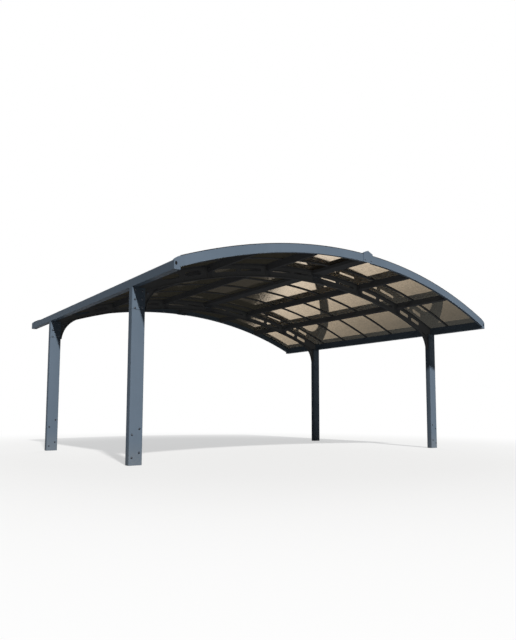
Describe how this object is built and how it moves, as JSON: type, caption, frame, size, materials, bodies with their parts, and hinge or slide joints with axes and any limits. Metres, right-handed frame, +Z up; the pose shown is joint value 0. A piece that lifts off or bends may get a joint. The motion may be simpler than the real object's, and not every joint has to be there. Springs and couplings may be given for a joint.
{
  "type": "carport",
  "caption": "Open carport with a bowed roof of tinted sheets on slotted curved beams, with knee brackets, rounded posts, gutters along both eaves and a capped ridge.",
  "frame": {"origin": "ground level under the middle of the roof", "axes": "+X across the span to the right, +Y along the roof from front to rear, +Z up"},
  "size_m": [6.1, 5.012, 2.852],
  "materials": {
    "frame_paint": "satin powder coat, slate blue-grey",
    "arch_paint": "satin powder coat, slate blue-grey",
    "galvanised_steel": "dull zinc",
    "bronze_sheet": "gloss, clear bronze tint"
  },
  "bodies": {
    "root": {"front_left_post": "frame_paint", "front_right_post": "frame_paint", "rear_left_post": "frame_paint", "rear_right_post": "frame_paint", "front_left_foot": "galvanised_steel", "front_right_foot": "galvanised_steel", "rear_left_foot": "galvanised_steel", "rear_right_foot": "galvanised_steel", "front_left_knee": "arch_paint", "front_right_knee": "arch_paint", "rear_left_knee": "arch_paint", "rear_right_knee": "arch_paint", "front_left_arch": "arch_paint", "front_right_arch": "arch_paint", "rear_left_arch": "arch_paint", "rear_right_arch": "arch_paint", "front_crown_splice": "arch_paint", "rear_crown_splice": "arch_paint", "front_purlin_cleats": "arch_paint", "rear_purlin_cleats": "arch_paint", "left_lower_purlin": "arch_paint", "left_upper_purlin": "arch_paint", "right_upper_purlin": "arch_paint", "right_lower_purlin": "arch_paint", "left_gutter": "frame_paint", "right_gutter": "frame_paint", "front_left_end_cap": "frame_paint", "front_right_end_cap": "frame_paint", "rear_left_end_cap": "frame_paint", "rear_right_end_cap": "frame_paint", "front_left_fascia": "frame_paint", "front_right_fascia": "frame_paint", "rear_left_fascia": "frame_paint", "rear_right_fascia": "frame_paint", "ridge_beam": "arch_paint", "ridge_cover": "frame_paint", "front_ridge_cap": "frame_paint", "rear_ridge_cap": "frame_paint", "left_roof_panels": "bronze_sheet", "right_roof_panels": "bronze_sheet", "left_glazing_bars": "arch_paint", "right_glazing_bars": "arch_paint"}
  },
  "joints": []
}
